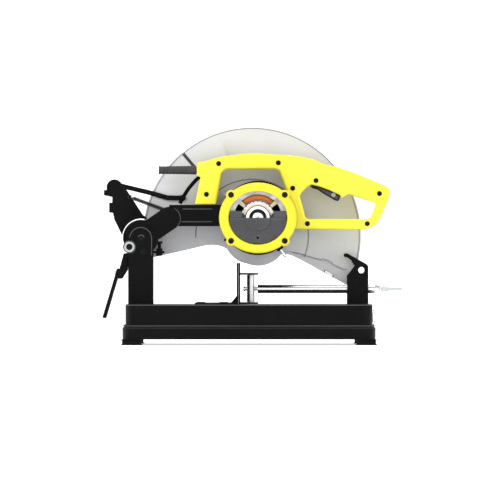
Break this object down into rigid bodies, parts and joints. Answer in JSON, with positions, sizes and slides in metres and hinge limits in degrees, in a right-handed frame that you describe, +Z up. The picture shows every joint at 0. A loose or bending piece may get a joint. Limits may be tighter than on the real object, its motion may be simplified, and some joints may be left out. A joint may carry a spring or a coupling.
{
  "type": "abrasive chop saw",
  "caption": "Bench-top abrasive cut-off saw: pressed base, vise and fence, a pivoting arm with brush motor, geared spindle, fixed and swinging guards, closed handle and trigger.",
  "frame": {"origin": "centre of the four bench-bolt holes, on the bench surface, Z = 0 at the bottom of the rubber feet", "axes": "+X from the rear post towards the operator, +Z up, +Y away from the motor side towards the wheel side"},
  "size_m": [0.5364, 0.3045, 0.3901],
  "materials": {
    "base_paint": "smooth black powder coat, medium gloss",
    "motor_paint": "satin black",
    "rubber": "matt moulded rubber",
    "black_steel": "black oxide",
    "zinc": "bright zinc plate",
    "bright_steel": "polished plated steel",
    "alloy": "bead-blasted light alloy, satin",
    "bronze": "plain oil bronze",
    "lamination": "stacked laminations, ground",
    "copper": "enamelled copper wire",
    "holder_plastic": "dark moulded plastic",
    "carbon": "pressed carbon",
    "yellow_plastic": "bright moulded plastic, low gloss",
    "grey_plastic": "fine-ribbed moulded plastic",
    "button_plastic": "light moulded plastic"
  },
  "bodies": {
    "base": {"base_pan": "base_paint", "rubber_feet": "rubber", "rear_post": "base_paint", "base_bolts": "black_steel", "pivot_bolt": "black_steel", "depth_stop": "black_steel", "link_bracket": "base_paint", "stop_screw": "black_steel", "front_bracket": "base_paint", "vise_nut": "zinc", "fence_bolts": "zinc", "key_clip": "zinc", "lift_spring": "black_steel"},
    "fence": {"fence": "base_paint"},
    "flap": {"flap_holder": "base_paint", "spark_flap": "rubber", "flap_screws": "zinc"},
    "lock_pin": {"lock_pin": "bright_steel"},
    "guard_link": {"guard_link": "base_paint"},
    "arm": {"arm_casting": "base_paint", "arm_bushes": "bronze", "gear_case": "alloy", "motor_housing": "motor_paint", "end_ring": "yellow_plastic", "end_ring_screws": "black_steel", "end_plate": "grey_plastic", "bearing_bridge": "bright_steel", "stator_core": "lamination", "field_coils": "copper", "brush_holders": "holder_plastic", "brushes": "carbon", "motor_bearings": "bright_steel", "spindle_bearings": "bright_steel", "fixed_guard": "alloy", "guard_bands": "alloy", "guard_screws": "zinc", "guard_retainer": "zinc", "handle_left": "yellow_plastic", "handle_right": "yellow_plastic", "handle_screws": "black_steel", "switch_body": "holder_plastic", "cord_boot": "rubber"},
    "armature": {"armature_shaft": "bright_steel", "armature_core": "lamination", "commutator": "copper", "motor_fan": "holder_plastic"},
    "spindle": {"spindle": "bright_steel", "drive_gear": "bright_steel", "clamp_flanges": "bright_steel", "flange_bolt": "bright_steel"},
    "lower_guard": {"moving_guard": "alloy", "slot_seal": "rubber", "guard_clip": "zinc"},
    "trigger": {"trigger": "grey_plastic"},
    "lock_button": {"lock_button": "button_plastic"},
    "shaft_lock": {"shaft_lock": "bright_steel"},
    "vise_carriage": {"vise_barrel": "zinc"},
    "vise_spindle": {"vise_screw": "bright_steel", "vise_crank": "bright_steel"},
    "vise_jaw": {"vise_jaw": "base_paint"}
  },
  "joints": [
    {"name": "arm_pivot", "type": "hinge", "parent": "base", "child": "arm", "pos_m": [-0.194, 0, 0.192], "axis": [0, -1, 0], "range_deg": [0, 45], "deforming": ["lift_spring"]},
    {"name": "guard_swing", "type": "hinge", "parent": "arm", "child": "lower_guard", "pos_m": [0.0055, 0, 0.1955], "axis": [0, -1, 0], "range_deg": [-42.1, 0]},
    {"name": "link_swing", "type": "hinge", "parent": "base", "child": "guard_link", "pos_m": [-0.2403, 0, 0.2876], "axis": [0, -1, 0], "range_deg": [0, 73.8]},
    {"name": "fence_swing", "type": "hinge", "parent": "base", "child": "fence", "pos_m": [-0.045, -0.075, 0.072], "axis": [0, 0, 1], "range_deg": [0, 45]},
    {"name": "flap_tilt", "type": "hinge", "parent": "base", "child": "flap", "pos_m": [-0.2198, 0, 0.16], "axis": [0, 1, 0], "range_deg": [0, 15]},
    {"name": "lock_pin_pull", "type": "slide", "parent": "base", "child": "lock_pin", "axis": [0, -1, 0], "range_m": [0, 0.008]},
    {"name": "spindle_spin", "type": "hinge", "parent": "arm", "child": "spindle", "pos_m": [0.0055, 0, 0.1955], "axis": [0, -1, 0], "continuous": true},
    {"name": "armature_spin", "type": "hinge", "parent": "arm", "child": "armature", "pos_m": [0.01581, 0, 0.22685], "axis": [0, -1, 0], "continuous": true},
    {"name": "trigger_pull", "type": "hinge", "parent": "arm", "child": "trigger", "pos_m": [0.112, -0.041, 0.2835], "axis": [0, -1, 0], "range_deg": [0, 7], "stiffness_Nm_per_rad": 0.6, "springref_deg": -8.59},
    {"name": "lock_button_push", "type": "slide", "parent": "trigger", "child": "lock_button", "axis": [0, 1, 0], "range_m": [0, 0.003], "stiffness_N_per_m": 400, "springref_m": -0.004},
    {"name": "shaft_lock_push", "type": "slide", "parent": "arm", "child": "shaft_lock", "axis": [-0.5878, 0, 0.809], "range_m": [0, 0.008], "stiffness_N_per_m": 400, "springref_m": -0.004},
    {"name": "vise_slide", "type": "slide", "parent": "base", "child": "vise_carriage", "axis": [1, 0, 0], "range_m": [0, 0.136]},
    {"name": "jaw_swivel", "type": "hinge", "parent": "vise_carriage", "child": "vise_jaw", "pos_m": [0.0032, -0.036, 0.1], "axis": [0, 0, 1], "range_deg": [0, 45]},
    {"name": "vise_turn", "type": "hinge", "parent": "vise_carriage", "child": "vise_spindle", "pos_m": [0, -0.036, 0.0999], "axis": [1, 0, 0], "range_deg": [0, 6121]}
  ],
  "couplings": [
    {"joint": "guard_swing", "follows": "arm_pivot", "ratio": -0.9346},
    {"joint": "link_swing", "follows": "arm_pivot", "ratio": 1.6375},
    {"joint": "armature_spin", "follows": "spindle_spin", "ratio": -4.5},
    {"joint": "jaw_swivel", "follows": "fence_swing", "ratio": 1},
    {"joint": "vise_turn", "follows": "vise_slide", "rad_per_m": 785.4}
  ]
}
